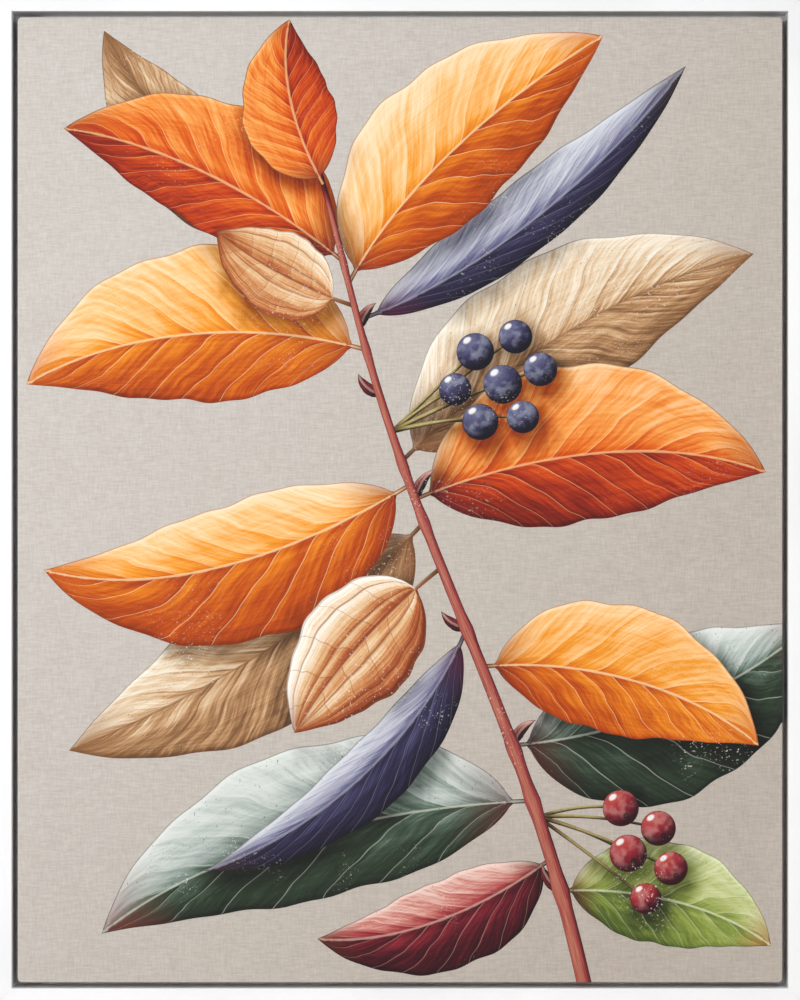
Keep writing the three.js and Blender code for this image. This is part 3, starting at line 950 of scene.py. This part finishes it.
rail = {
    "outline": ((0, 0), (31.8, 0), (31.8, 8), (9.8, 8), (9.8, 40), (0, 40)),
    "eased": (1.0, 0.8, 0.8, 0.6, 0.8, 0.5), "steps": 4, "joint": 0.03, "jointEase": 0.05,
    "corner": 0, "cornerTilts": (),
}
bar = {
    "outline": ((0, 0), (40, 0), (40, 20.2), (7, 24.2), (5, 26.2), (0, 26.2)),
    "eased": (1.0, 1.4, 1.4, 0.6, 0.8, 1.0), "steps": 3, "joint": 0.05, "jointEase": 0.25,
    "corner": 2.7, "cornerTilts": (0.2, 0.5, 0.78),
}
sharpFrom = 0.7  # radians between two faces whose edge stays sharp


def ease(mesh, edges, offset, steps):
    bmesh.ops.bevel(
        mesh, geom=edges, offset=offset, segments=steps, profile=0.5, affect="EDGES", material=-1,
    )


def cutOff(mesh, place, way):
    # what lies past a plane goes, and the cut is closed
    everything = mesh.verts[:] + mesh.edges[:] + mesh.faces[:]
    cut = bmesh.ops.bisect_plane(
        mesh, geom=everything, dist=1e-7, plane_co=place, plane_no=way, clear_outer=True,
    )
    rim = ofKind(cut["geom_cut"], bmesh.types.BMEdge)
    bmesh.ops.holes_fill(mesh, edges=rim)
    return rim


def onLine(edge, place):
    return all(abs(vert.co.y - place.y) < 1e-6 and abs(vert.co.z - place.z) < 1e-6 for vert in edge.verts)


def mitred(profile, side, half, back):
    mesh = bmesh.new()
    span, reach = (half.y, half.x) if side % 2 else half
    corners = []
    for inwards, forwards in profile["outline"]:
        corners.append(Vector((-span, back - forwards * mm, reach - inwards * mm)))
    face = mesh.faces.new([mesh.verts.new(corner) for corner in corners])
    made = bmesh.ops.extrude_face_region(mesh, geom=[face])["geom"]
    bmesh.ops.translate(mesh, verts=ofKind(made, bmesh.types.BMVert), vec=(2 * span, 0, 0))
    bmesh.ops.recalc_face_normals(mesh, faces=mesh.faces)
    for place, eased in zip(corners, profile["eased"]):
        ease(mesh, [edge for edge in mesh.edges if onLine(edge, place)], eased * mm, profile["steps"])
    for end in (-1, 1):
        for tilt in profile["cornerTilts"]:
            way = Vector((end * sin(tilt), 0, cos(tilt)))
            centre = Vector((end * (span - profile["corner"] * mm), 0, reach - profile["corner"] * mm))
            cutOff(mesh, centre + way * profile["corner"] * mm, way)
        rim = cutOff(mesh, (end * (span - profile["joint"] * mm), 0, reach), (end, 0, -1))
        ease(mesh, rim, profile["jointEase"] * mm, 1)
    turn = Matrix.Rotation(side * quarterTurn, 4, "Y")
    bmesh.ops.transform(mesh, matrix=Matrix.Translation(middle) @ turn, verts=mesh.verts)
    return mesh


def finish(mesh, name, material, nodes):
    bmesh.ops.recalc_face_normals(mesh, faces=mesh.faces)
    piece = linked(mesh, name, [material])
    piece.data.shade_smooth()
    piece.data.set_sharp_from_angle(angle=sharpFrom)
    piece.modifiers.new("evenShading", "WEIGHTED_NORMAL").keep_sharp = True
    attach(piece, "root")
    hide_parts(*nodes)


for side, name in enumerate(sideNames):
    mesh = mitred(rail, side, frameHalf, railHigh.y)
    finish(mesh, "painted_rail_" + name, white, ["frame_rail_" + name])
    wood = pineUpright if side % 2 else pineAcross
    mesh = mitred(bar, side, barHalf, barHigh.y)
    finish(mesh, "pine_bar_" + name, wood, ["stretcher_bar_" + name])
print("rails and bars made")


# The fixings: turned ones in mm, and ones that are eased copies of the source's own shapes.

screw = {
    "head": 3.6, "height": 2.1, "shank": 1.75, "length": 20, "slot": 0.5, "slotReach": 1.9, "slotDepth": 1.3,
    "steps": 32,
}
nail = {"head": 2.2, "height": 0.7, "shank": 0.7, "length": 7, "steps": 24}
bumper = {"radius": 5, "thick": 2.9, "round": 1.1, "foot": 0.2, "dish": 0.15, "steps": 40}
staple = {"ease": 0.18 * mm, "steps": 2}
cornerNail = {"ease": 0.08 * mm, "steps": 1, "proud": 0.14 * mm}
hanger = {"ease": 0.15 * mm, "steps": 2}


def easedCopy(node, name, form, material):
    # eased, and moved out of the back where it stands proud
    mesh = bmesh.new()
    mesh.from_mesh(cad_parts[node].data)
    bmesh.ops.remove_doubles(mesh, verts=mesh.verts, dist=1e-6)
    bmesh.ops.dissolve_limit(mesh, angle_limit=0.02, verts=mesh.verts, edges=mesh.edges)
    ease(mesh, [edge for edge in mesh.edges if edge.calc_face_angle(0) > 0.5], form["ease"], form["steps"])
    bmesh.ops.translate(mesh, verts=mesh.verts, vec=(0, form.get("proud", 0), 0))
    finish(mesh, name, material, [node])


def turned(profile, steps):
    # a shape spun about its own Z, from a profile in mm that starts and ends on the axis
    mesh = bmesh.new()
    verts = [mesh.verts.new((across * mm, 0, up * mm)) for across, up in profile]
    edges = [mesh.edges.new(pair) for pair in zip(verts, verts[1:])]
    bmesh.ops.spin(
        mesh, geom=verts + edges, axis=(0, 0, 1), cent=(0, 0, 0), angle=4 * quarterTurn, steps=steps,
        use_merge=True,
    )
    bmesh.ops.remove_doubles(mesh, verts=mesh.verts, dist=1e-7)
    bmesh.ops.recalc_face_normals(mesh, faces=mesh.faces)
    return mesh


def pinProfile(pin):
    # the crown lies at 0, with the head's underside and the shank below it
    head, height, shank = pin["head"], pin["height"], pin["shank"]
    dome = [(head * sin(a), -0.62 * height * (1 - cos(a))) for a in np.linspace(0, 1.5, 8)]
    foot = -height - pin["length"]
    underside = [(head, -0.8 * height), (head * 0.96, -height), (shank, -height)]
    return dome + underside + [(shank, foot + 2 * shank), (0, foot)]


def cutCross(mesh):
    for axis in ((1, 0, 0), (0, 1, 0)):
        for distance in (screw["slot"], screw["slotReach"]):
            for sense in (-1, 1):
                everything = mesh.verts[:] + mesh.edges[:] + mesh.faces[:]
                place = Vector(axis) * distance * sense * mm
                bmesh.ops.bisect_plane(mesh, geom=everything, dist=1e-8, plane_co=place, plane_no=axis)
    chosen = []
    for face in mesh.faces:
        across, along = sorted(abs(value) / mm for value in face.calc_center_median()[:2])
        if across < screw["slot"] and along < screw["slotReach"] and face.normal.z > 0.3:
            chosen.append(face)
    made = bmesh.ops.extrude_face_region(mesh, geom=chosen)["geom"]
    floorVerts = ofKind(made, bmesh.types.BMVert)
    bmesh.ops.delete(mesh, geom=chosen, context="FACES")
    bmesh.ops.scale(mesh, verts=floorVerts, vec=(0.55, 0.55, 0.2))
    bmesh.ops.translate(mesh, verts=floorVerts, vec=(0, 0, -screw["slotDepth"] * mm))


def seat(mesh, node, spin=0.0):
    # turned onto the back, its crown where the node's is
    low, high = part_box(node)
    place = Vector(((low.x + high.x) / 2, high.y, (low.z + high.z) / 2))
    turn = Matrix.Rotation(-quarterTurn, 4, "X") @ Matrix.Rotation(spin, 4, "Z")
    bmesh.ops.transform(mesh, matrix=Matrix.Translation(place) @ turn, verts=mesh.verts)


def makeScrew(node):
    mesh = turned(pinProfile(screw), screw["steps"])
    cutCross(mesh)
    seat(mesh, node, rng.uniform(0, quarterTurn))
    finish(mesh, "pan_head_" + node, zinc, [node])


def makeNail(node):
    mesh = turned(pinProfile(nail), nail["steps"])
    seat(mesh, node)
    finish(mesh, "domed_" + node, zinc, [node])


def makeBumper(node):
    radius, thick, bend, foot = bumper["radius"], bumper["thick"], bumper["round"], bumper["foot"]
    below = [(0, -thick), (radius - foot, -thick), (radius, -thick + foot)]
    shoulder = []
    for a in np.linspace(0, quarterTurn, 7):
        shoulder.append((radius - bend + bend * cos(a), -bend + bend * sin(a)))
    mesh = turned(below + shoulder + [(radius * 0.5, 0.0), (0, -bumper["dish"])], bumper["steps"])
    seat(mesh, node)
    finish(mesh, "soft_" + node, rubber, [node])


for name, node in list(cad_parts.items()):
    if name.startswith("canvas_staple"):
        easedCopy(name, "wire_" + name, staple, wire)
    elif name.startswith("fixing_screw"):
        makeScrew(name)
    elif name.startswith("hanger_nail"):
        makeNail(name)
    elif name.startswith("bumper"):
        makeBumper(name)
    elif name.startswith("bar_corner_staple"):
        node.data.materials.clear()
        node.data.materials.append(wire)
    elif name.startswith("frame_corner_nail"):
        easedCopy(name, "zinc_" + name, cornerNail, zinc)
easedCopy("sawtooth_hanger", "zinc_hanger", hanger, zinc)
print("fixings made")


# Floor and light.

floorLook = {"light": "e9e8e6", "dark": "dedddb", "clouds": 3.0, "roughness": 0.75, "half": 15}
sideLamp = {"aim": (0, 0, -0.18), "size": (0.5, 1.1), "spread": 66}
lamps = {
    "key": {"place": (-2.0, -2.4, -0.03), "power": 7.45, **sideLamp},
    "fill": {"place": (2.0, -2.4, -0.03), "power": 3.15, **sideLamp},
    "back": {
        "place": (0.6, 2.8, 2.8), "power": 80, "aim": (0, 1.4, -0.7), "size": (4.0, 3.0), "spread": 180,
    },
}
skylight = {"aim": (0, 0.6, -1), "softness": 75, "strength": 1.22}  # from high in front, even on the floor
room = {"colour": "f3f5f7", "strength": 0.14, "seen": 0.36}         # seen adds to it where the camera looks


def makeFloor():
    constants = {"Specular IOR Level": 0.2, "Roughness": floorLook["roughness"]}
    material, tree, shader = startMaterial("paleFloor", constants)
    cloudy = noise(tree, surfacePoint(tree), floorLook["clouds"], 3.0)
    tint = blend(tree, cloudy, floorLook["light"], floorLook["dark"])
    plug(tree, shader.inputs["Base Color"], tint)
    mesh = bmesh.new()
    bmesh.ops.create_grid(mesh, x_segments=1, y_segments=1, size=floorLook["half"])
    bmesh.ops.translate(mesh, verts=mesh.verts, vec=(0, 0, cadBox[0].z))
    floor = linked(mesh, "paleFloor", [material])


def hang(light, aim, place=(0, 0, 0)):
    holder = bpy.data.objects.new(light.name, light)
    holder.location = place
    holder.rotation_euler = (Vector(aim) - Vector(place)).to_track_quat("-Z", "Y").to_euler()
    bpy.context.collection.objects.link(holder)
    return holder


def makeLamps():
    for name, lamp in lamps.items():
        light = bpy.data.lights.new(name, "AREA")
        light.shape = "RECTANGLE"
        light.size, light.size_y = lamp["size"]
        light.energy = lamp["power"]
        light.spread = radians(lamp["spread"])
        hang(light, lamp["aim"], lamp["place"]).visible_camera = False
    light = bpy.data.lights.new("skylight", "SUN")
    light.energy = skylight["strength"]
    light.angle = radians(skylight["softness"])
    hang(light, skylight["aim"])
    world = bpy.data.worlds.new("paleRoom")
    world.use_nodes = True
    tree = world.node_tree
    background = tree.nodes["Background"].inputs
    plug(tree, background["Color"], room["colour"])
    seen = put(tree, "LightPath").outputs["Is Camera Ray"]
    plug(tree, background["Strength"], around(tree, room["strength"], seen, room["seen"]))
    bpy.context.scene.world = world


makeFloor()
makeLamps()
print("floor and lights made")
